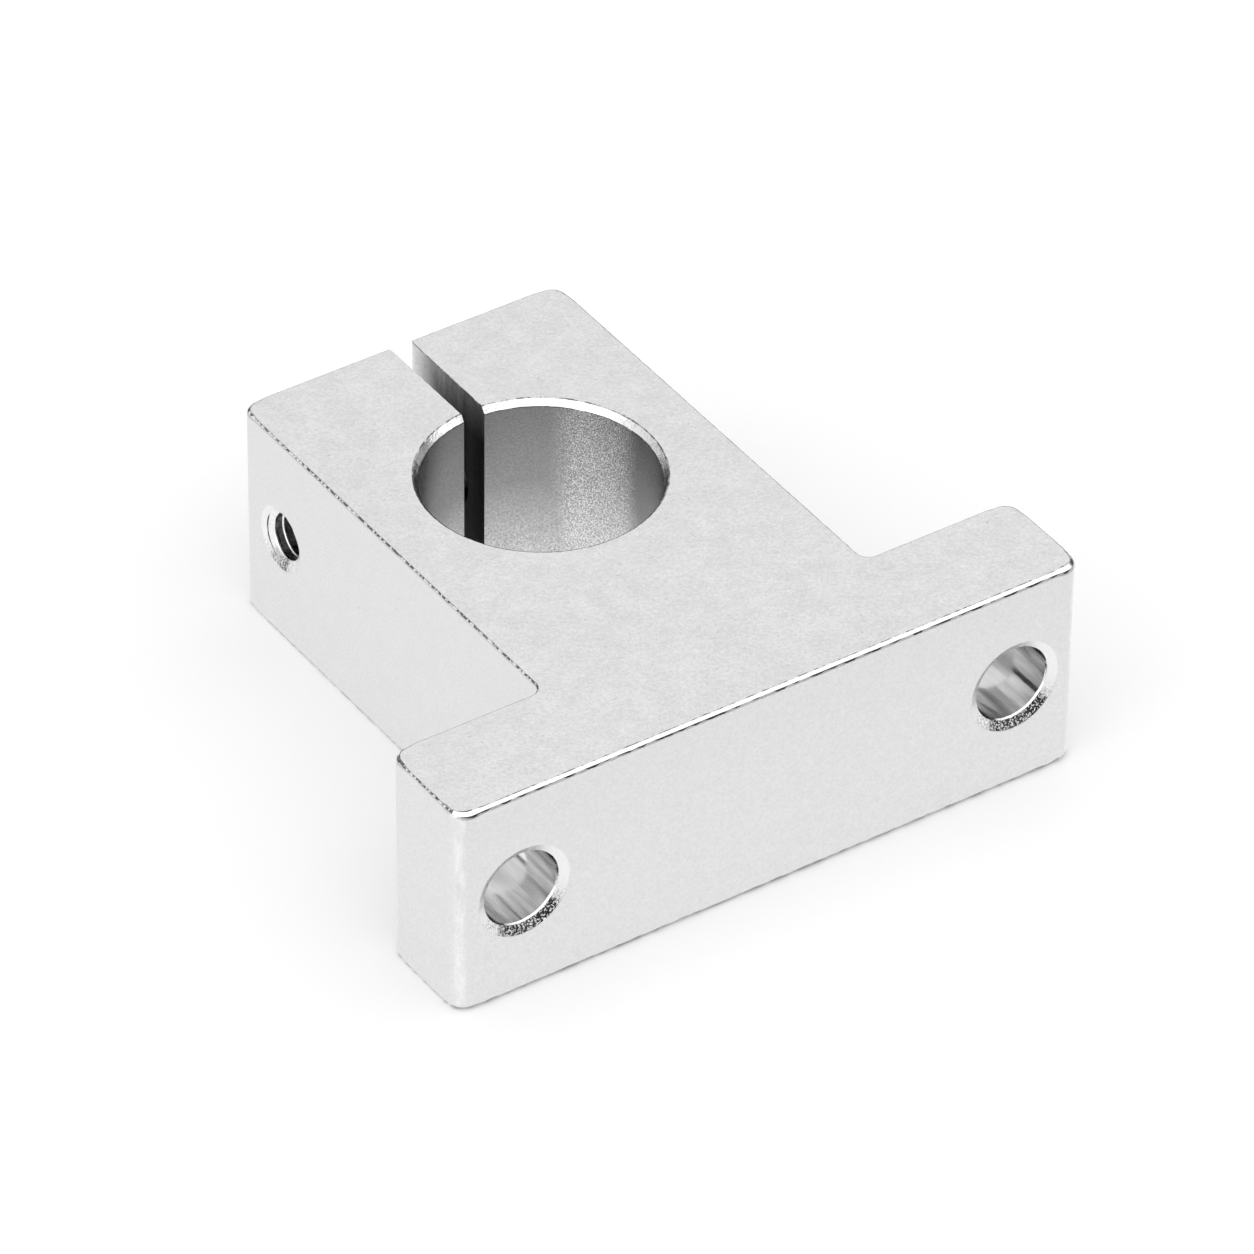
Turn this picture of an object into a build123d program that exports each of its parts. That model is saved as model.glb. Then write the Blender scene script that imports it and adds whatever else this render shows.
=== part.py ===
from build123d import *
import os

os.makedirs("parts", exist_ok=True)

# A support that clamps one end of a round shaft, machined from a single piece of T-shaped
# aluminium bar. It lies on one of its two broad faces. X runs along the foot, Y runs from
# the mounting face of the foot to the ends of the clamp ears, and Z is the axis of the
# shaft. The origin is the centre of the bore, half way through the block.
# All sizes are in millimetres.

# Outline of the bar
foot_width = 48.0
foot_thickness = 8.0
upper_width = 25.0
overall_height = 44.0
outer_corner_radius = 1.2
inner_corner_radius = 0.8

# Length of bar that is cut off for one block, and the break on its sawn edges
block_depth = 16.0
edge_chamfer = 0.25

# Bore for the shaft, with a steep chamfer, and its height above the mounting face
shaft_diameter = 16.0
centre_height = 27.0
bore_chamfer = 0.35
bore_chamfer_angle = 70

# Slot that parts the two clamp ears
slot_width = 1.6
slot_mouth_radius = 0.4

# Holes that bolt the foot down, each centred at this distance from its end of the foot
mounting_hole_to_end = 5.0
mounting_diameter = 5.5
mounting_chamfer = 0.7
mounting_chamfer_angle = 120

# Clamp screw across the ears: tapped in the -X ear, clear and counterbored in the +X ear
screw_diameter = 4.0
screw_pitch = 0.7
screw_to_ear_end = 4.8
tapped_mouth_diameter = 4.8
tapped_mouth_angle = 120
screw_clearance = 0.5
head_diameter = 7.0
head_clearance = 0.5
head_height = 4.0
head_sink = 0.4

# Places that follow from the sizes
mounting_face_y = -centre_height
shoulder_y = foot_thickness - centre_height
ear_end_y = overall_height - centre_height
screw_y = ear_end_y - screw_to_ear_end
foot_end_x = foot_width / 2
ear_side_x = upper_width / 2
mounting_spacing = foot_width - 2 * mounting_hole_to_end

# Hole sizes that follow from the screw
tap_drill_diameter = screw_diameter - screw_pitch
clearance_diameter = screw_diameter + screw_clearance
counterbore_diameter = head_diameter + head_clearance
counterbore_depth = head_height + head_sink

# Planes to drill from, each facing out of the block
top_plane = Plane((0, 0, block_depth / 2), x_dir=(1, 0, 0), z_dir=(0, 0, 1))
bottom_plane = Plane((0, 0, -block_depth / 2), x_dir=(1, 0, 0), z_dir=(0, 0, -1))
mounting_plane = Plane((0, mounting_face_y, 0), x_dir=(1, 0, 0), z_dir=(0, -1, 0))
shoulder_plane = Plane((0, shoulder_y, 0), x_dir=(1, 0, 0), z_dir=(0, 1, 0))
tapped_plane = Plane((-ear_side_x, screw_y, 0), x_dir=(0, 1, 0), z_dir=(-1, 0, 0))
counterbore_plane = Plane((ear_side_x, screw_y, 0), x_dir=(0, 1, 0), z_dir=(1, 0, 0))


with BuildPart() as support_block:
    # T-shaped bar, drawn as its right half and mirrored
    with BuildSketch(Plane.XY):
        with BuildLine():
            FilletPolyline(
                (0, mounting_face_y),
                (foot_end_x, mounting_face_y),
                (foot_end_x, shoulder_y),
                (ear_side_x, shoulder_y),
                (ear_side_x, ear_end_y),
                (0, ear_end_y),
                radius=[
                    outer_corner_radius,
                    outer_corner_radius,
                    inner_corner_radius,
                    outer_corner_radius,
                ],
            )
            mirror(about=Plane.YZ)
        make_face()
    extrude(amount=block_depth / 2, both=True)
    broad_faces = support_block.faces().filter_by(Axis.Z)
    chamfer(broad_faces.edges(), length=edge_chamfer)

    # Bore for the shaft, chamfered at both broad faces
    for bored_plane in (top_plane, bottom_plane):
        with Locations(bored_plane):
            CounterSinkHole(
                radius=shaft_diameter / 2,
                counter_sink_radius=shaft_diameter / 2 + bore_chamfer,
                depth=block_depth,
                counter_sink_angle=bore_chamfer_angle,
            )

    # Two holes through the foot, chamfered at both ends
    for drilled_plane in (mounting_plane, shoulder_plane):
        with Locations(drilled_plane):
            with GridLocations(mounting_spacing, 0, 2, 1):
                CounterSinkHole(
                    radius=mounting_diameter / 2,
                    counter_sink_radius=mounting_diameter / 2 + mounting_chamfer,
                    depth=foot_thickness,
                    counter_sink_angle=mounting_chamfer_angle,
                )

    # Tapped hole with a shallow countersunk mouth, and the counterbored hole that faces it
    with Locations(tapped_plane):
        CounterSinkHole(
            radius=tap_drill_diameter / 2,
            counter_sink_radius=tapped_mouth_diameter / 2,
            depth=ear_side_x,
            counter_sink_angle=tapped_mouth_angle,
        )
    with Locations(counterbore_plane):
        CounterBoreHole(
            radius=clearance_diameter / 2,
            counter_bore_radius=counterbore_diameter / 2,
            counter_bore_depth=counterbore_depth,
            depth=ear_side_x,
        )

    # Slot from the bore out between the ears, rounded where it leaves them
    with BuildSketch(Plane.XY):
        Rectangle(slot_width, ear_end_y, align=(Align.CENTER, Align.MIN))
    extrude(amount=block_depth / 2, both=True, mode=Mode.SUBTRACT)
    slot_mouth_edges = support_block.edges(Select.LAST).filter_by(Axis.Z).group_by(Axis.Y)[-1]
    fillet(slot_mouth_edges, radius=slot_mouth_radius)

support_block.part.label = "support_block"
export_step(support_block.part, "parts/support_block.step")
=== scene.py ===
import math

import bmesh
import bpy
from mathutils import Matrix, Vector, noise
from mathutils.geometry import intersect_point_line


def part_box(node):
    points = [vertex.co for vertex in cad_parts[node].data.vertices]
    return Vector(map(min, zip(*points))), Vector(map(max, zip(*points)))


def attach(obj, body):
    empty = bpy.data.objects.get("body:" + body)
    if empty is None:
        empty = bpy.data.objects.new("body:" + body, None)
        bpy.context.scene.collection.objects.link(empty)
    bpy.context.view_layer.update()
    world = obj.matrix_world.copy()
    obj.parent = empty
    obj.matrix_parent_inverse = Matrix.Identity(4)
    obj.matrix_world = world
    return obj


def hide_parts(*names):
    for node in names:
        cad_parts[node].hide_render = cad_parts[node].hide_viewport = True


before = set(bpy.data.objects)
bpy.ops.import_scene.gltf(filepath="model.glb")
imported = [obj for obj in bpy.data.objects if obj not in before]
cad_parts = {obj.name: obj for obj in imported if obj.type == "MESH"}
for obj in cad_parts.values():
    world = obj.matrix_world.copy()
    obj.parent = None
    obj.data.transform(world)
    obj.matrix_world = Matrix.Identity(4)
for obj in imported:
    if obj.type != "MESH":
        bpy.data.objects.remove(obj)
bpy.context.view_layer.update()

# A T-shaped block of blasted aluminium that clamps a round shaft. The block is modelled
# in millimetres around the centre of its bore, and scaled to metres at the end.
MM = 0.001
NODE = "support_block"

# Outline of the block. Its overall sizes are those of the frame.
node_low, node_high = (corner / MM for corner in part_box(NODE))
FOOT_END_X = node_high.x
MOUNTING_Y = node_low.y
EAR_END_Y = node_high.y
HALF_DEPTH = node_high.z
FOOT_THICKNESS = 8.0
UPPER_WIDTH = 25.0
OUTER_RADIUS = 1.2
INNER_RADIUS = 0.8
SHOULDER_Y = MOUNTING_Y + FOOT_THICKNESS
EAR_SIDE_X = UPPER_WIDTH / 2

# Holes and slot. A chamfer's angle is that of its whole cone, in degrees. A lip is the width
# and depth of the turn from a chamfer to its wall.
BORE_RADIUS = 8.0
BORE_CHAMFER = 0.35
BORE_CHAMFER_ANGLE = 70
BORE_LIP = (0.02, 0.03)
SLOT_HALF = 0.8
SLOT_MOUTH_RADIUS = 0.4
MOUNTING_HOLE_X = 19.0
MOUNTING_HOLE_RADIUS = 2.75
MOUNTING_CHAMFER = 0.7
MOUNTING_CHAMFER_ANGLE = 120
MOUNTING_LIP = (0.07, 0.10)
SCREW_Y = EAR_END_Y - 4.8
TAPPED_MOUTH_RADIUS = 2.4
TAPPED_MOUTH_ANGLE = 120
CLEARANCE_RADIUS = 2.25
COUNTERBORE_RADIUS = 3.75
COUNTERBORE_DEPTH = 4.4

# Thread of the tapped hole, M4. The rounding of its crest is that high, and that share of it
# long. The first groove's middle is that far inside the ear, and at that share of its pitch.
THREAD_PITCH = 0.7
THREAD_MINOR = 1.65
THREAD_MAJOR = 2.06
THREAD_TOP_WIDTH = 0.66
THREAD_ROOT_WIDTH = 0.09
THREAD_ROUNDING = 0.15
THREAD_ROUNDING_SHARE = 0.9
THREAD_FIRST_GROOVE = 0.293
THREAD_GROOVE_AT = 0.5

# The edge break is full along the mounting face, and that share of it elsewhere. It grows
# around the upright corners by that share, and over that length beside them.
PLAIN_EDGE = 0.5
CORNER_GROWTH = 0.35
CORNER_REACH = 0.9

# Inset and depth of each ring of the edge break, and the height of its unevenness
EDGE_RINGS = [
    (0.290, 0.000, 0.000),
    (0.245, 0.016, 0.010),
    (0.078, 0.178, 0.018),
    (0.010, 0.300, 0.022),
    (0.000, 0.340, 0.030),
]

# Unevenness of the edges and of the rims of cuts: the size of its coarse and fine features,
# and the height of the fine ones as a share of the coarse
EDGE_FEATURES = (0.55, 0.22)
RIM_FEATURES = (0.4, 0.17)
FINE_SHARE = 0.7

# Cutters stand that far out of the block. A chamfer starts in a slight roll-over of the face,
# from that far outside its mouth and above the face to that far inside its mouth.
OVERSHOOT = 1.0
ROLL_OUTSIDE = 0.20
ROLL_ABOVE = 0.055
ROLL_INSIDE = 0.03

# Mesh density
EDGE_STEP = 0.18
ARC_STEPS = 16
BORE_STEPS = 320
HOLE_STEPS = 168
THREAD_STEPS = 96

# After the cuts, edges over that angle in degrees stay sharp, points that near each other are
# joined, and a point that near a straight edge of two faces is taken out
SHARP_ANGLE = 12
SAME_WITHIN = 0.0005
STRAIGHT_WITHIN = 0.002

# Finishes, in the order of the block's material slots
(BROAD, SIDE, EDGE, BURR_SHADE, NICKED, BORE_WALL, BORE_RIM, SLOT_WALL, DRILLED, SUNK,
 THREAD) = range(11)

# The studio is lit down to the horizon on this side, from the first to the second closeness
LIT_SIDE = (-1.0, -0.07, 0.0)
LIT_SIDE_SPAN = (0.85, 0.95)

# Camera, from the fit to the photograph
AZIMUTH = -34.185
ELEVATION = 38.016
ROLL = 0.645
DISTANCE = 640.0
FOCAL_PIXELS = 9814.7
PHOTO_SIDE = 1254
SENSOR = 36.0
TARGET = Vector((1.43, -8.082, 0.0))


def wobble(x, y, z, size, height):
    """Smooth unevenness of a machined edge: features of that size and height, in mm."""
    return height * noise.noise(Vector((x, y, z)) / size)


def unevenness(x, y, layers, features, height):
    """A coarse and a fine wobble together, each in its own layer of the noise."""
    coarse = wobble(x, y, layers[0], features[0], height)
    return coarse + wobble(x, y, layers[1], features[1], height * FINE_SHARE)


def outline():
    """Points of the T outline with their outward normals, and the stretch that each starts.

    The last value of a point is 1 on an outer corner and falls to 0 beside it."""
    foot_x, ear_x = FOOT_END_X - OUTER_RADIUS, EAR_SIDE_X - OUTER_RADIUS
    neck_x, neck_y = EAR_SIDE_X + INNER_RADIUS, SHOULDER_Y + INNER_RADIUS
    low_y, high_y = MOUNTING_Y + OUTER_RADIUS, SHOULDER_Y - OUTER_RADIUS
    end_y = EAR_END_Y - OUTER_RADIUS
    # Centre of each corner, start angle and turn, which is negative in the inner corners
    corners = [
        (-foot_x, low_y, 180, 90),
        (foot_x, low_y, 270, 90),
        (foot_x, high_y, 0, 90),
        (neck_x, neck_y, 270, -90),
        (ear_x, end_y, 0, 90),
        (-ear_x, end_y, 90, 90),
        (-neck_x, neck_y, 0, -90),
        (-foot_x, high_y, 90, 90),
    ]

    def arc(corner):
        x, y, start, turn = corner
        radius, facing = (OUTER_RADIUS, 1) if turn > 0 else (INNER_RADIUS, -1)
        made = []
        for i in range(ARC_STEPS + 1):
            angle = math.radians(start + turn * i / ARC_STEPS)
            ray = Vector((math.cos(angle), math.sin(angle)))
            made.append((Vector((x, y)) + ray * radius, ray * facing))
        return made

    def nearness(distance, corner):
        share = max(0.0, 1 - distance / CORNER_REACH) if corner[3] > 0 else 0.0
        return share * share * (3 - 2 * share)

    points, stretches = [], []
    for i, corner in enumerate(corners):
        following = corners[(i + 1) % len(corners)]
        round_part = arc(corner)
        points += [(place, normal, nearness(0, corner)) for place, normal in round_part]
        (start, normal), (end, _) = round_part[-1], arc(following)[0]
        length = (end - start).length
        count = math.ceil(length / EDGE_STEP)
        for j in range(1, count):
            walked = length * j / count
            near = max(nearness(walked, corner), nearness(length - walked, following))
            points.append((start.lerp(end, j / count), normal, near))
        stretches += [("round", i)] * ARC_STEPS + [("straight", i)] * count
    return points, stretches


def edge_ring(mesh, points, side, k):
    """The points of one ring of the edge break, around the broad face of that side."""
    # The border of the broad face wanders within its plane by about that much, in waves of
    # that length
    wander, wave_length, wave_swing = 0.05, 0.45, 0.9
    # The last burr comes and goes along the edge, in dashes of about that length, and never
    # shrinks below that share
    burr_ring, dash_length, dash_swing, least_dash = 3, 0.9, 2.2, 0.08
    # Sides and rings differ by their layers of the noise
    layers = (side * 7.3 + k * 3.1, side * 5.9 + k * 4.7)
    wave_layer, dash_layer = side * 2.2, side * 3.7
    inset, depth, height = EDGE_RINGS[k]
    ring = []
    for place, normal, near in points:
        facing = max(0.0, -normal.y)
        size = PLAIN_EDGE + (1 - PLAIN_EDGE) * facing + CORNER_GROWTH * near
        lift = unevenness(place.x, place.y, layers, EDGE_FEATURES, height)
        inwards, downwards = inset, depth
        if k == 0:
            wave = wobble(place.x, place.y, wave_layer, wave_length, wave_swing)
            inwards += wander * (0.5 + wave)
        if k == burr_ring:
            dash = wobble(place.x, place.y, dash_layer, dash_length, dash_swing)
            share = min(1.0, max(least_dash, 0.5 + dash))
            inner_inset, inner_depth, _ = EDGE_RINGS[k - 1]
            inwards = inner_inset + (inset - inner_inset) * share
            downwards = inner_depth + (depth - inner_depth) * share
        x, y = place - normal * inwards * size
        z = HALF_DEPTH - (downwards + abs(lift)) * size
        ring.append(mesh.verts.new((x, y, side * z)))
    return ring


def add_edge_break(mesh, loops, points, side):
    """The bands between the rings of one side, and the broad face inside them."""
    # Finishes of the bands, on the edges of the mounting face and elsewhere. The first are
    # those whose normal has a Y below that. On the side that rests on the floor, all but the last
    # band take the burr's dark tone, a painted contact shadow.
    front = (BURR_SHADE, EDGE, BURR_SHADE, SIDE) if side > 0 else (BURR_SHADE, BURR_SHADE, BURR_SHADE, SIDE)
    plain = (BURR_SHADE, NICKED, SIDE, SIDE)
    front_below = -0.25
    count = len(points)
    for k in range(len(EDGE_RINGS) - 1):
        upper, lower = loops[side, k], loops[side, k + 1]
        for i in range(count):
            j = (i + 1) % count
            quad = [upper[i], lower[i], lower[j], upper[j]]
            face = mesh.faces.new(quad if side > 0 else quad[::-1])
            finishes = front if points[i][1].y < front_below else plain
            face.material_index = finishes[k]
    broad = mesh.faces.new(loops[side, 0] if side > 0 else loops[side, 0][::-1])
    broad.material_index = BROAD


def add_walls(mesh, top, bottom, stretches):
    """One face for each straight stretch, and a strip of faces for each round one."""
    count = len(stretches)
    start = 0
    while start < count:
        kind = stretches[start]
        end = start
        while end < count and stretches[end] == kind:
            end += 1
        if kind[0] == "round":
            for i in range(start, end):
                j = (i + 1) % count
                face = mesh.faces.new([top[i], bottom[i], bottom[j], top[j]])
                face.material_index = SIDE
        else:
            run = [i % count for i in range(start, end + 1)]
            wall = [bottom[i] for i in run] + [top[i] for i in reversed(run)]
            mesh.faces.new(wall).material_index = SIDE
        start = end


def base_block():
    """The T-shaped bar with its broken edges, whose borders are slightly uneven."""
    points, stretches = outline()
    mesh = bmesh.new()
    loops = {}
    for side in (1, -1):
        for k in range(len(EDGE_RINGS)):
            loops[side, k] = edge_ring(mesh, points, side, k)
    for side in (1, -1):
        add_edge_break(mesh, loops, points, side)
    last = len(EDGE_RINGS) - 1
    add_walls(mesh, loops[1, last], loops[-1, last], stretches)
    return mesh


def revolve(profile, steps, place):
    """A closed cutter turned from (radius, height, unevenness, finish of the next band)."""
    mesh = bmesh.new()
    rings = []
    for k, (radius, height, uneven, _) in enumerate(profile):
        layers = (height + 0.37 * k, height + 1.37 * k)
        ring = []
        for i in range(steps):
            angle = 2 * math.pi * i / steps
            x, y = radius * math.cos(angle), radius * math.sin(angle)
            shift = unevenness(x, y, layers, RIM_FEATURES, uneven)
            ring.append(mesh.verts.new((x, y, height + shift)))
        rings.append(ring)
    for k in range(len(profile) - 1):
        for i in range(steps):
            j = (i + 1) % steps
            face = mesh.faces.new([rings[k][i], rings[k][j], rings[k + 1][j], rings[k + 1][i]])
            face.material_index = profile[k][3]
    mesh.faces.new(rings[0][::-1])
    mesh.faces.new(rings[-1])
    mesh.transform(place)
    bmesh.ops.recalc_face_normals(mesh, faces=mesh.faces)
    return mesh


def cone_depth(width, angle):
    return width / math.tan(math.radians(angle / 2))


def chamfered_hole(radius, chamfer, angle, ends, lip, finishes):
    """Profile of a through hole with a chamfer at both ends.

    The chamfer starts in a slight roll-over of the face. It ends in a lip of that width
    and depth, which turns into the wall."""
    rim, cone, lip_finish, wall = finishes
    depth = cone_depth(chamfer, angle)
    slope = depth / chamfer
    lip_width, lip_depth = lip
    mouth = radius + chamfer
    # From the face to the wall: radius, depth, unevenness and finish of the next band
    steps = [
        (mouth + ROLL_OUTSIDE, -ROLL_ABOVE, 0.012, rim),
        (mouth - ROLL_INSIDE, ROLL_INSIDE * slope, 0.016, cone),
        (radius + lip_width, depth - lip_width * slope, 0.022, lip_finish),
        (radius, depth + lip_depth, 0.018, wall),
    ]
    low, high = ends
    profile = [(steps[0][0], low - OVERSHOOT, 0.0, rim)]
    profile += [(r, low + d, uneven, finish) for r, d, uneven, finish in steps]
    # Going out of the far end, each band takes the finish of the step that it leads to
    profile += [(r, high - d, uneven, steps[max(k - 1, 0)][3])
                for k, (r, d, uneven, _) in reversed(list(enumerate(steps)))]
    profile += [(steps[0][0], high + OVERSHOOT, 0.0, rim)]
    return profile


def bore_cutter():
    profile = chamfered_hole(
        BORE_RADIUS, BORE_CHAMFER, BORE_CHAMFER_ANGLE, (-HALF_DEPTH, HALF_DEPTH),
        BORE_LIP, (BURR_SHADE, BORE_RIM, BURR_SHADE, BORE_WALL),
    )
    return revolve(profile, BORE_STEPS, Matrix.Identity(4))


def mounting_cutter(x):
    profile = chamfered_hole(
        MOUNTING_HOLE_RADIUS, MOUNTING_CHAMFER, MOUNTING_CHAMFER_ANGLE, (MOUNTING_Y, SHOULDER_Y),
        MOUNTING_LIP, (SIDE, SUNK, EDGE, DRILLED),
    )
    place = Matrix.Translation((x, 0, 0)) @ Matrix.Rotation(math.radians(-90), 4, "X")
    return revolve(profile, HOLE_STEPS, place)


def along_x(x):
    """Places a cutter on the clamp screw's axis, with its height along +X."""
    return Matrix.Translation((x, SCREW_Y, 0)) @ Matrix.Rotation(math.radians(90), 4, "Y")


def countersink_cutter():
    """The wide mouth of the tapped hole."""
    into_thread = 0.10
    width = TAPPED_MOUTH_RADIUS - THREAD_MINOR
    depth = cone_depth(width, TAPPED_MOUTH_ANGLE)
    slope = depth / width
    profile = [
        (TAPPED_MOUTH_RADIUS + ROLL_OUTSIDE, -OVERSHOOT, 0.0, SIDE),
        (TAPPED_MOUTH_RADIUS + ROLL_OUTSIDE, -ROLL_ABOVE, 0.010, SIDE),
        (TAPPED_MOUTH_RADIUS - ROLL_INSIDE, ROLL_INSIDE * slope, 0.010, SUNK),
        (THREAD_MINOR - into_thread, depth + into_thread * slope, 0.0, SUNK),
    ]
    return revolve(profile, HOLE_STEPS, along_x(-EAR_SIDE_X))


def counterbore_cutter():
    """The clearance hole and the seat of the screw's head, in the +X ear."""
    # The hole starts inside the slot, and has the finish of the slot's wall, with its painted shade,
    # over a stretch
    into_slot, slot_finish = 0.6, 2.5
    # The counterbore's edge is broken over that much each way, and spreads by that much
    edge_half, edge_spread = 0.05, 0.10
    seat_x = EAR_SIDE_X - COUNTERBORE_DEPTH
    profile = [
        (CLEARANCE_RADIUS, SLOT_HALF - into_slot, 0.0, SLOT_WALL),
        (CLEARANCE_RADIUS, SLOT_HALF + slot_finish, 0.0, DRILLED),
        (CLEARANCE_RADIUS, seat_x, 0.0, SUNK),
        (COUNTERBORE_RADIUS, seat_x, 0.0, DRILLED),
        (COUNTERBORE_RADIUS, EAR_SIDE_X - edge_half, 0.020, EDGE),
        (COUNTERBORE_RADIUS + edge_spread, EAR_SIDE_X + edge_half, 0.010, EDGE),
        (COUNTERBORE_RADIUS + edge_spread, EAR_SIDE_X + OVERSHOOT, 0.0, EDGE),
    ]
    return revolve(profile, HOLE_STEPS, along_x(0))


def thread_profile():
    """Place along one pitch, as a share of it, and radius there."""
    top, root = THREAD_TOP_WIDTH / THREAD_PITCH, THREAD_ROOT_WIDTH / THREAD_PITCH
    rounding = THREAD_ROUNDING_SHARE * THREAD_ROUNDING / THREAD_PITCH
    return [
        (0.0, THREAD_MINOR),
        (THREAD_GROOVE_AT - top / 2, THREAD_MINOR),
        (THREAD_GROOVE_AT - top / 2 + rounding, THREAD_MINOR + THREAD_ROUNDING),
        (THREAD_GROOVE_AT - root / 2, THREAD_MAJOR),
        (THREAD_GROOVE_AT + root / 2, THREAD_MAJOR),
        (THREAD_GROOVE_AT + top / 2 - rounding, THREAD_MINOR + THREAD_ROUNDING),
        (THREAD_GROOVE_AT + top / 2, THREAD_MINOR),
    ]


def thread_cutter():
    """A threaded rod: the profile of one pitch follows a helix, and both ends are fans."""
    profile = thread_profile()
    turns_outside = 1
    before_groove = (turns_outside + THREAD_GROOVE_AT) * THREAD_PITCH
    start_x = -EAR_SIDE_X + THREAD_FIRST_GROOVE - before_groove
    turns = math.floor(-start_x / THREAD_PITCH)
    rows = turns * len(profile)
    mesh = bmesh.new()
    grid = []
    for step in range(THREAD_STEPS):
        share = step / THREAD_STEPS
        angle = 2 * math.pi * share
        line = []
        for row in range(rows + 1):
            turn, k = divmod(row, len(profile))
            x = start_x + THREAD_PITCH * (turn + profile[k][0] + share)
            radius = profile[k][1]
            line.append(mesh.verts.new((x, radius * math.cos(angle), radius * math.sin(angle))))
        grid.append(line)
    for step in range(THREAD_STEPS):
        last = step == THREAD_STEPS - 1
        following = grid[0] if last else grid[step + 1]
        shift = len(profile) if last else 0
        for row in range(rows - shift):
            a, b = grid[step][row], grid[step][row + 1]
            c, d = following[row + 1 + shift], following[row + shift]
            mesh.faces.new([a, b, c, d])
    # The last pitch of the last strip has no neighbour, so it joins a fan at each end
    first_rim = [grid[step][0] for step in range(THREAD_STEPS)]
    first_rim += [grid[0][k] for k in range(len(profile), 0, -1)]
    last_row = rows - len(profile)
    last_rim = [grid[step][rows] for step in range(THREAD_STEPS - 1)]
    last_rim += [grid[THREAD_STEPS - 1][k] for k in range(rows, last_row - 1, -1)]
    for rim in (first_rim, last_rim):
        middle = sum((vert.co.x for vert in rim), 0.0) / len(rim)
        hub = mesh.verts.new((middle, 0, 0))
        for i, vert in enumerate(rim):
            mesh.faces.new([vert, rim[(i + 1) % len(rim)], hub])
    for face in mesh.faces:
        face.material_index = THREAD
    mesh.transform(Matrix.Translation((0, SCREW_Y, 0)))
    bmesh.ops.recalc_face_normals(mesh, faces=mesh.faces)
    return mesh


def slot_cutter():
    """The slot from the bore out between the ears, with its round mouth."""
    flare, above_face, below_face = 0.03, 0.03, 0.04
    tail_spread, tail_length = 0.02, 0.5
    # Each wall lies that far from the middle of the noise, on its own side
    wall_layer = 9.0
    rounding_y = EAR_END_Y - SLOT_MOUTH_RADIUS
    centre_x = SLOT_HALF + SLOT_MOUTH_RADIUS
    # Height of each line of the cutter, how much wider it is there, and its unevenness
    lines = [
        (HALF_DEPTH + OVERSHOOT, flare, 0.0),
        (HALF_DEPTH + above_face, flare * 2, 0.016),
        (HALF_DEPTH - below_face, 0.0, 0.020),
    ]
    lines += [(-z, wide, uneven) for z, wide, uneven in reversed(lines)]

    def half_section(wide):
        count = math.ceil(rounding_y / EDGE_STEP)
        side = [(SLOT_HALF + wide, rounding_y * i / count) for i in range(count)]
        radius = SLOT_MOUTH_RADIUS - wide
        mouth = []
        for i in range(ARC_STEPS + 1):
            angle = math.pi * (1 - i / ARC_STEPS / 2)
            mouth.append((centre_x + radius * math.cos(angle), rounding_y + radius * math.sin(angle)))
        tail = [(mouth[-1][0] + tail_spread, EAR_END_Y + tail_length)]
        return side + mouth + tail

    mesh = bmesh.new()
    rings = []
    for z, wide, uneven in lines:
        half = half_section(wide)
        ring = []
        for mirrored in (1, -1):
            ordered = half if mirrored > 0 else half[::-1]
            for x, y in ordered:
                shift = wobble(mirrored * wall_layer, y, z, RIM_FEATURES[0], uneven)
                ring.append(mesh.verts.new((mirrored * (x + shift), y, z)))
        rings.append(ring)
    finishes = [BURR_SHADE, BURR_SHADE, SLOT_WALL, BURR_SHADE, BURR_SHADE]
    for k, finish in enumerate(finishes):
        count = len(rings[k])
        for i in range(count):
            j = (i + 1) % count
            face = mesh.faces.new([rings[k][i], rings[k][j], rings[k + 1][j], rings[k + 1][i]])
            face.material_index = finish
    mesh.faces.new(rings[0])
    mesh.faces.new(rings[-1][::-1])
    bmesh.ops.recalc_face_normals(mesh, faces=mesh.faces)
    return mesh


def to_object(mesh, name, finishes):
    data = bpy.data.meshes.new(name)
    mesh.to_mesh(data)
    mesh.free()
    for finish in finishes:
        data.materials.append(finish)
    made = bpy.data.objects.new(name, data)
    bpy.context.scene.collection.objects.link(made)
    return made


def cut(block, cutters):
    """Takes each cutter out of the block, exactly, and removes the cutter."""
    for cutter in cutters:
        boolean = block.modifiers.new("cut", "BOOLEAN")
        boolean.operation = "DIFFERENCE"
        boolean.solver = "EXACT"
        boolean.material_mode = "INDEX"
        boolean.object = cutter
        apply_modifiers(block)
        bpy.data.objects.remove(cutter)


def apply_modifiers(made):
    graph = bpy.context.evaluated_depsgraph_get()
    data = bpy.data.meshes.new_from_object(made.evaluated_get(graph))
    made.modifiers.clear()
    made.data = data


def dissolve_spare_points(made):
    """Joins the points that the cuts left on each other, and takes out those that they left
    part way along a straight edge of two faces."""
    mesh = bmesh.new()
    mesh.from_mesh(made.data)
    bmesh.ops.remove_doubles(mesh, verts=mesh.verts, dist=SAME_WITHIN)
    spare = []
    for vert in mesh.verts:
        if len(vert.link_edges) == 2:
            start, end = (edge.other_vert(vert).co for edge in vert.link_edges)
            on_line, _ = intersect_point_line(vert.co, start, end)
            if (vert.co - on_line).length < STRAIGHT_WITHIN:
                spare.append(vert)
    bmesh.ops.dissolve_verts(mesh, verts=spare)
    mesh.to_mesh(made.data)
    mesh.free()


def smooth_shading(made):
    """Round faces shade smoothly, and the bands of an edge keep their own angles."""
    data = made.data
    for polygon in data.polygons:
        polygon.use_smooth = True
    data.set_sharp_from_angle(angle=math.radians(SHARP_ANGLE))
    weighted = made.modifiers.new("normals", "WEIGHTED_NORMAL")
    weighted.mode = "FACE_AREA"
    weighted.weight = 100
    weighted.keep_sharp = True
    apply_modifiers(made)


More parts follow.
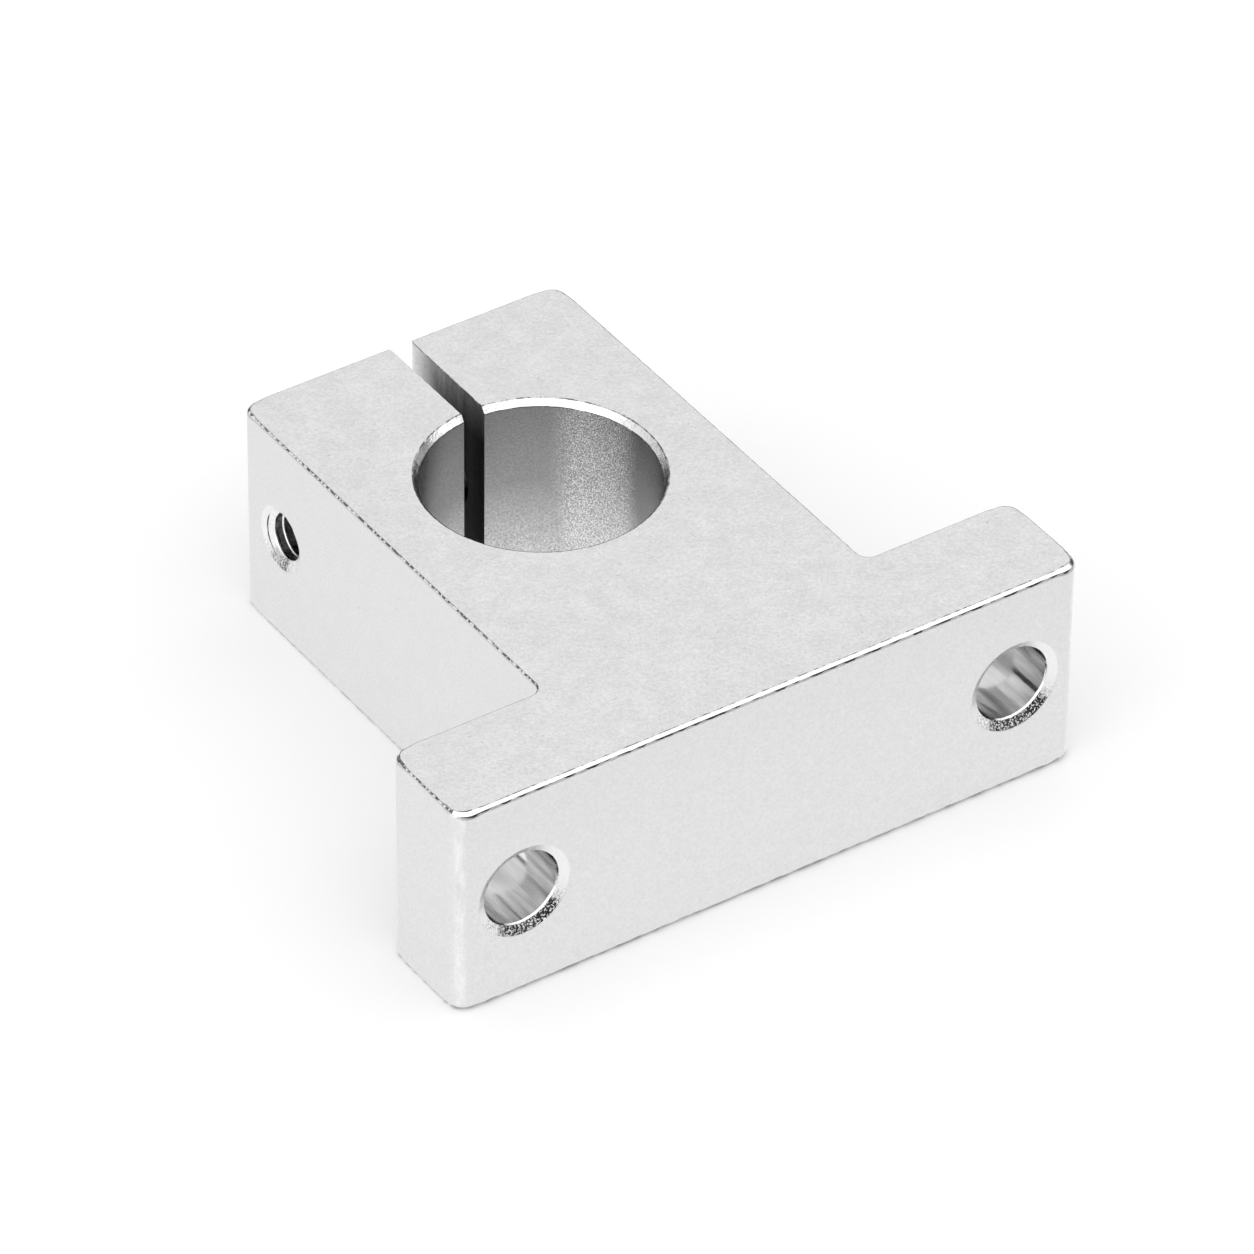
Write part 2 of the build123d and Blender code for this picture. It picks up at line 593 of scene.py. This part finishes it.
def dressed_block(finishes):
    block = to_object(base_block(), "blasted_block", finishes)
    cutters = [
        bore_cutter(),
        slot_cutter(),
        mounting_cutter(-MOUNTING_HOLE_X),
        mounting_cutter(MOUNTING_HOLE_X),
        countersink_cutter(),
        counterbore_cutter(),
        thread_cutter(),
    ]
    cut(block, [to_object(mesh, f"cutter_{i}", finishes) for i, mesh in enumerate(cutters)])
    dissolve_spare_points(block)
    smooth_shading(block)
    block.data.transform(Matrix.Scale(MM, 4))
    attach(block, "root")
    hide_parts(NODE)


# Materials. Noise scales are in features per metre, and bump heights in metres.

# The range that most values of a noise lie in, and its narrower middle
NOISE_RANGE = (0.3, 0.7)
NOISE_MIDDLE = (0.35, 0.65)

BUMP_LOW = 2e-5
BUMP_MEDIUM = 3e-5
BUMP_HIGH = 4e-5

WHITE = (1.0, 1.0, 1.0, 1.0)


class Nodes:
    """Short calls to add and link shader nodes in one tree."""

    def __init__(self, tree):
        self.tree = tree
        tree.nodes.clear()

    def add(self, kind, inputs=None, **settings):
        made = self.tree.nodes.new("ShaderNode" + kind)
        for name, value in settings.items():
            setattr(made, name, value)
        for name, value in (inputs or {}).items():
            self.put(made.inputs[name], value)
        return made

    def put(self, socket, value):
        if isinstance(value, bpy.types.NodeSocket):
            self.tree.links.new(value, socket)
        else:
            socket.default_value = value

    def position(self, stretch=(1, 1, 1)):
        """The place on the object in metres, stretched along its axes."""
        place = self.add("TexCoord").outputs["Object"]
        mapping = self.add("Mapping", {"Vector": place, "Scale": stretch})
        return mapping.outputs["Vector"]

    def axes(self, vector):
        """The X, Y and Z parts of a vector."""
        return self.add("SeparateXYZ", {"Vector": vector}).outputs

    def noise(self, scale, detail, roughness, stretch=(1, 1, 1)):
        settings = {"Scale": scale, "Detail": detail, "Roughness": roughness}
        settings["Vector"] = self.position(stretch)
        return self.add("TexNoise", settings).outputs["Fac"]

    def span(self, value, low, high, to_low, to_high):
        """Maps a value from one range to another, and holds it at the ends."""
        inputs = {"Value": value, "From Min": low, "From Max": high}
        inputs.update({"To Min": to_low, "To Max": to_high})
        return self.add("MapRange", inputs).outputs["Result"]

    def between(self, share, at_none, at_all):
        """Goes from one value to the other as the share goes from 0 to 1."""
        return self.span(share, 0.0, 1.0, at_none, at_all)

    def maths(self, operation, first, second=0.0):
        return self.add("Math", {0: first, 1: second}, operation=operation).outputs["Value"]

    def total(self, first, *others):
        for other in others:
            first = self.maths("ADD", first, other)
        return first

    def product(self, first, *others):
        for other in others:
            first = self.maths("MULTIPLY", first, other)
        return first

    def towards(self, vector, way):
        """How far a unit vector points that way, from -1 to 1."""
        inputs = {0: vector, 1: Vector(way).normalized()}
        return self.add("VectorMath", inputs, operation="DOT_PRODUCT").outputs["Value"]

    def grey(self, value):
        """A colour of that brightness."""
        inputs = {"Red": value, "Green": value, "Blue": value}
        return self.add("CombineColor", inputs).outputs["Color"]

    def bump(self, height, strength, distance, below=None):
        inputs = {"Height": height, "Strength": strength, "Distance": distance}
        if below is not None:
            inputs["Normal"] = below
        return self.add("Bump", inputs).outputs["Normal"]


def metal(name, build):
    """A bare metal whose tone, roughness and normal come from build(nodes)."""
    material = bpy.data.materials.new(name)
    material.use_nodes = True
    nodes = Nodes(material.node_tree)
    tone, roughness, normal = build(nodes)
    inputs = {"Metallic": 1.0, "Base Color": nodes.grey(tone)}
    inputs.update({"Roughness": roughness, "Normal": normal})
    shader = nodes.add("BsdfPrincipled", inputs)
    nodes.add("OutputMaterial", {"Surface": shader.outputs["BSDF"]})
    return material


def blasted(nodes, level, depth):
    """Fine blasted grain of that depth, with faint blotches, dimples and dark specks."""
    grain = nodes.noise(5200, 3.0, 0.7)
    blotch = nodes.noise(700, 2.0, 0.5)
    dimple = nodes.noise(2600, 1.0, 0.4)
    speck = nodes.noise(3300, 1.0, 0.5)
    tone = nodes.total(
        nodes.span(grain, 0.25, 0.75, level - depth, level + depth),
        nodes.span(blotch, *NOISE_RANGE, -0.014, 0.014),
        nodes.span(speck, 0.20, 0.27, -1.5 * depth, 0.0),
    )
    rough = nodes.span(blotch, *NOISE_RANGE, 0.42, 0.50)
    normal = nodes.bump(dimple, 0.35, BUMP_HIGH)
    return tone, rough, nodes.bump(grain, 0.5, BUMP_LOW, normal)


def broad_face(nodes):
    return blasted(nodes, 0.83, 0.105)


def side_face(nodes):
    """The extruded sides: finer, with a painted highlight along the rounded upright corners."""
    # The product of a normal's X and Y comes to 0.5 in the middle of such a corner
    corner_span = (0.36, 0.50)
    tone, rough, normal = blasted(nodes, 0.81, 0.06)
    facing = nodes.axes(nodes.add("TexCoord").outputs["Normal"])
    diagonal = nodes.maths("ABSOLUTE", nodes.product(facing["X"], facing["Y"]))
    patches = nodes.noise(1300, 3.0, 0.65, (1, 1, 0.35))
    # Painted highlight: the tone is raised in patches along the rounded upright corners, standing in
    # for their reflection.
    glow = nodes.product(nodes.span(diagonal, *corner_span, 0.0, 1.0),
                         nodes.span(patches, 0.38, 0.60, -0.03, 0.09))
    smoother = nodes.span(diagonal, *corner_span, 0.0, -0.16)
    return nodes.total(tone, glow), nodes.total(rough, smoother), normal


def machined_edge(nodes):
    """The broken edge: bright, with fine chatter."""
    chatter = nodes.noise(5200, 2.0, 0.6)
    tone = nodes.span(chatter, *NOISE_MIDDLE, 0.84, 0.96)
    rough = nodes.span(chatter, *NOISE_RANGE, 0.14, 0.26)
    return tone, rough, nodes.bump(chatter, 0.35, BUMP_LOW)


def burr_with_painted_shade(nodes):
    """The thin uneven burr line beside a broken edge, with dashes of painted shade where its shadow
    falls.
    """
    dashes = nodes.noise(1700, 3.0, 0.6)
    fleck = nodes.noise(5200, 2.0, 0.6)
    # Painted shade: the dashes darken the tone to stand in for the burr's shadow.
    tone = nodes.product(nodes.span(dashes, 0.44, 0.56, 0.14, 0.55),
                         nodes.span(fleck, *NOISE_MIDDLE, 0.8, 1.1))
    rough = nodes.span(dashes, 0.42, 0.58, 0.30, 0.16)
    return tone, rough, nodes.bump(fleck, 0.4, BUMP_LOW)


def edge_nicks(nodes):
    """The small break of the other edges: short bright and dark nicks in turn."""
    nick = nodes.noise(3000, 2.0, 0.6)
    tone = nodes.span(nick, 0.47, 0.57, 0.15, 0.97)
    rough = nodes.span(nick, 0.4, 0.6, 0.34, 0.16)
    return tone, rough, nodes.bump(nick, 0.5, BUMP_HIGH)


def bore_wall(nodes):
    """A fine grain, with a coarser band along the bore whose facets carry a painted sparkle
    highlight, and a painted reflection of the floor that lightens the wall towards the bottom.
    """
    # The band's direction, and the cosines of the angles from it where it starts and is full
    band = math.radians(27)
    band_span = (0.88, 0.985)
    # The rest of the wall is slightly coarse too, more so from the first height to the second, and
    # there its tone is lighter, a painted reflection of the floor
    lower_coarse_and_painted_light_span = (1.5 * MM, -4.5 * MM)
    place = nodes.axes(nodes.position())
    along_band = nodes.total(nodes.product(place["X"], math.cos(band) / (BORE_RADIUS * MM)),
                             nodes.product(place["Y"], math.sin(band) / (BORE_RADIUS * MM)))
    closeness = nodes.span(along_band, *band_span, 0.0, 1.0)
    low = nodes.span(place["Z"], *lower_coarse_and_painted_light_span, 0.0, 0.30)
    coarse = nodes.maths("MAXIMUM", nodes.product(closeness, closeness), low)
    grain = nodes.noise(7500, 3.0, 0.65)
    facet = nodes.noise(10500, 2.0, 0.6)
    # Painted reflection of the floor: the plain tone gets lighter towards the bottom of the bore.
    plain = nodes.total(nodes.span(grain, *NOISE_RANGE, 0.31, 0.45),
                        nodes.product(low, nodes.span(grain, *NOISE_MIDDLE, 0.35, 1.15)))
    # Painted highlight: within the band the tone is raised far above that of the plain wall.
    sparkle = nodes.span(facet, 0.46, 0.62, 0.02, 0.92)
    tone = nodes.total(plain, nodes.product(coarse, sparkle))
    rough = nodes.span(facet, *NOISE_MIDDLE, 0.18, 0.26)
    normal = nodes.bump(facet, nodes.between(coarse, 0.15, 0.9), BUMP_MEDIUM)
    return tone, rough, nodes.bump(grain, 0.35, BUMP_MEDIUM, normal)


def bore_rim(nodes):
    """The chamfer of the bore: turned, bright, with torn spots."""
    torn = nodes.noise(3800, 3.0, 0.7)
    tone = nodes.span(torn, 0.33, 0.5, 0.70, 0.97)
    rough = nodes.span(torn, *NOISE_RANGE, 0.28, 0.14)
    return tone, rough, nodes.bump(torn, 0.45, BUMP_HIGH)


def slot_wall(nodes):
    """Sawn walls of the slot with painted shade: nearly black deep inside, lighter only at the mouth
    and near the faces.
    """
    mouth_span = ((EAR_END_Y - 4.5) * MM, (EAR_END_Y - 0.4) * MM)
    face_span = ((HALF_DEPTH - 3.0) * MM, (HALF_DEPTH - 0.4) * MM)
    place = nodes.axes(nodes.position())
    mouth = nodes.span(place["Y"], *mouth_span, 0.0, 0.8)
    height = nodes.maths("ABSOLUTE", place["Z"])
    painted_light_near_face = nodes.span(height, *face_span, 0.015, 0.42)
    fleck = nodes.noise(4200, 3.0, 0.65)
    # Painted shade: the tone falls almost to black away from the mouth and the faces.
    tone = nodes.product(nodes.maths("MAXIMUM", mouth, painted_light_near_face),
                         nodes.span(fleck, *NOISE_RANGE, 0.75, 1.15))
    rough = nodes.span(fleck, *NOISE_RANGE, 0.35, 0.5)
    return tone, rough, nodes.bump(fleck, 0.6, BUMP_HIGH)


def drilled_wall(nodes):
    """Broad and fine streaks that the drill left along the hole."""
    broad = nodes.noise(480, 2.0, 0.5, (1, 0.25, 1))
    streak = nodes.noise(2600, 3.0, 0.65, (1, 0.06, 1))
    fine = nodes.noise(6500, 2.0, 0.6, (1, 0.06, 1))
    tone = nodes.product(nodes.span(broad, 0.36, 0.60, 0.54, 0.90),
                         nodes.span(streak, 0.32, 0.68, 0.86, 1.05))
    rough = nodes.span(streak, *NOISE_RANGE, 0.09, 0.15)
    normal = nodes.bump(streak, 0.06, BUMP_MEDIUM)
    return tone, rough, nodes.bump(fine, 0.25, BUMP_LOW, normal)


def countersunk(nodes):
    """Turned cone, torn in small facets below and duller above."""
    dull_span = (-1.9 * MM, -0.9 * MM)
    height = nodes.axes(nodes.position())["Z"]
    dull = nodes.span(height, *dull_span, 0.0, 1.0)
    torn = nodes.noise(5500, 2.0, 0.6)
    fleck = nodes.span(nodes.noise(7000, 1.0, 0.5), 0.56, 0.66, 0.0, 1.0)
    tone = nodes.total(0.93, nodes.product(nodes.span(torn, *NOISE_RANGE, -0.38, 0.02),
                                           nodes.between(dull, 1.0, 0.15)))
    rough = nodes.total(nodes.span(torn, *NOISE_RANGE, 0.06, 0.12), nodes.product(dull, 0.28))
    normal = nodes.bump(torn, nodes.between(dull, 0.30, 0.06), BUMP_HIGH)
    return tone, rough, nodes.bump(fleck, nodes.between(dull, 0.5, 0.0), BUMP_HIGH, normal)


def thread_flank(nodes):
    """Tapped flanks, bright and smooth near the mouth and darker further in, a painted shade of the
    deep hole.
    """
    painted_shade_span = ((1.3 - EAR_SIDE_X) * MM, (2.4 - EAR_SIDE_X) * MM)
    place = nodes.axes(nodes.position())
    # Painted shade: the tone falls to about a fifth deeper in the hole.
    inwards = nodes.span(place["X"], *painted_shade_span, 1.0, 0.22)
    grain = nodes.noise(3000, 2.0, 0.5)
    tone = nodes.product(nodes.span(grain, *NOISE_RANGE, 0.84, 0.95), inwards)
    rough = nodes.span(grain, *NOISE_RANGE, 0.10, 0.18)
    return tone, rough, nodes.bump(grain, 0.2, BUMP_LOW)


def make_finishes():
    """The block's materials, in the order of its slots."""
    recipes = [
        ("blasted_broad_face", broad_face),
        ("blasted_side", side_face),
        ("machined_edge", machined_edge),
        ("burr_with_painted_shade", burr_with_painted_shade),
        ("edge_nicks", edge_nicks),
        ("bore_wall", bore_wall),
        ("bore_rim", bore_rim),
        ("slot_wall", slot_wall),
        ("drilled_wall", drilled_wall),
        ("countersunk", countersunk),
        ("thread_flank", thread_flank),
    ]
    return [metal(name, build) for name, build in recipes]


# Studio


def floor_material():
    """Pale and plain. In the metal it glows near the block and to its left, and is dark
    further out."""
    paleness = 0.88
    glow_share, dark_level = 0.70, 0.1
    lit_radius, dark_radius = 0.07, 0.17
    material = bpy.data.materials.new("pale_floor")
    material.use_nodes = True
    nodes = Nodes(material.node_tree)
    glossy_ray = nodes.add("LightPath").outputs["Is Glossy Ray"]
    place = nodes.position()
    distance = nodes.add("VectorMath", {0: place}, operation="LENGTH").outputs["Value"]
    ray = nodes.add("VectorMath", {0: place}, operation="NORMALIZE").outputs["Vector"]
    not_left = nodes.span(nodes.towards(ray, LIT_SIDE), *LIT_SIDE_SPAN, 1.0, 0.0)
    far = nodes.product(nodes.span(distance, lit_radius, dark_radius, 0.0, 1.0), not_left)
    glowing = nodes.product(glossy_ray, nodes.between(far, glow_share, 1.0))
    level = nodes.between(far, 1.0, dark_level)
    diffuse = nodes.add("BsdfDiffuse", {"Color": (paleness, paleness, paleness, 1.0)})
    glow = nodes.add("Emission", {"Color": WHITE, "Strength": level})
    shaders = {1: diffuse.outputs["BSDF"], 2: glow.outputs["Emission"]}
    mixed = nodes.add("MixShader", {"Fac": glowing, **shaders})
    nodes.add("OutputMaterial", {"Surface": mixed.outputs["Shader"]})
    return material


def make_floor():
    """A large pale floor just under the block."""
    gap = 0.01
    radius, segments = 3.0, 96
    mesh = bmesh.new()
    bmesh.ops.create_circle(mesh, cap_ends=True, segments=segments, radius=radius)
    floor = to_object(mesh, "floor", [floor_material()])
    floor.location.z = -(HALF_DEPTH + gap) * MM


def make_world():
    """Soft white studio: brighter in front and from the left, dark along the horizon."""
    front_way, left_way = (0.05, -0.75, 0.63), (-0.86, -0.14, 0.48)
    plain_level, front_level, added_left = 0.79, 1.42, 0.4
    # The dark band along the horizon is narrower behind and on the right, by that much, and
    # open on the left
    behind_way, right_way = (-0.75, 0.65, 0), (0.87, -0.5, 0)
    narrower_behind, narrower_right = 0.28, 0.18
    band_span, band_level = (0.28, 0.42), 0.03
    world = bpy.data.worlds.new("studio")
    bpy.context.scene.world = world
    world.use_nodes = True
    nodes = Nodes(world.node_tree)
    direction = nodes.add("TexCoord").outputs["Generated"]

    front = nodes.span(nodes.towards(direction, front_way), 0.05, 0.38, plain_level, front_level)
    left = nodes.span(nodes.towards(direction, left_way), 0.80, 0.94, 0.0, added_left)
    behind = nodes.span(nodes.towards(direction, behind_way), -0.2, 0.9, 0.0, narrower_behind)
    right = nodes.span(nodes.towards(direction, right_way), 0.88, 0.96, 0.0, narrower_right)
    upwards = nodes.total(nodes.towards(direction, (0, 0, 1)), behind, right)
    horizon = nodes.maths(
        "MAXIMUM",
        nodes.span(upwards, *band_span, band_level, 1.0),
        nodes.span(nodes.towards(direction, LIT_SIDE), *LIT_SIDE_SPAN, 0.0, 1.0),
    )
    level = nodes.product(nodes.total(front, left), horizon)
    camera_ray = nodes.add("LightPath").outputs["Is Camera Ray"]
    hidden = nodes.maths("SUBTRACT", 1.0, camera_ray)
    seen = nodes.total(nodes.product(level, hidden), camera_ray)
    shader = nodes.add("Background", {"Color": WHITE, "Strength": seen})
    nodes.add("OutputWorld", {"Surface": shader.outputs["Background"]})


def make_camera():
    azimuth, elevation = math.radians(AZIMUTH), math.radians(ELEVATION)
    back = Vector((
        math.sin(azimuth) * math.cos(elevation),
        -math.cos(azimuth) * math.cos(elevation),
        math.sin(elevation),
    ))
    right = Vector((0, 0, 1)).cross(back).normalized()
    up = back.cross(right)
    basis = Matrix((right, up, back)).transposed()
    basis = basis @ Matrix.Rotation(math.radians(ROLL), 3, "Z")
    data = bpy.data.cameras.new("camera")
    data.sensor_width = SENSOR
    data.lens = FOCAL_PIXELS / PHOTO_SIDE * SENSOR
    data.clip_start, data.clip_end = 0.01, 20.0
    camera = bpy.data.objects.new("camera", data)
    camera.matrix_world = Matrix.Translation((TARGET + back * DISTANCE) * MM) @ basis.to_4x4()
    bpy.context.scene.collection.objects.link(camera)
    bpy.context.scene.camera = camera


make_camera()
make_world()
make_floor()
dressed_block(make_finishes())
bpy.context.scene.view_settings.view_transform = "Standard"
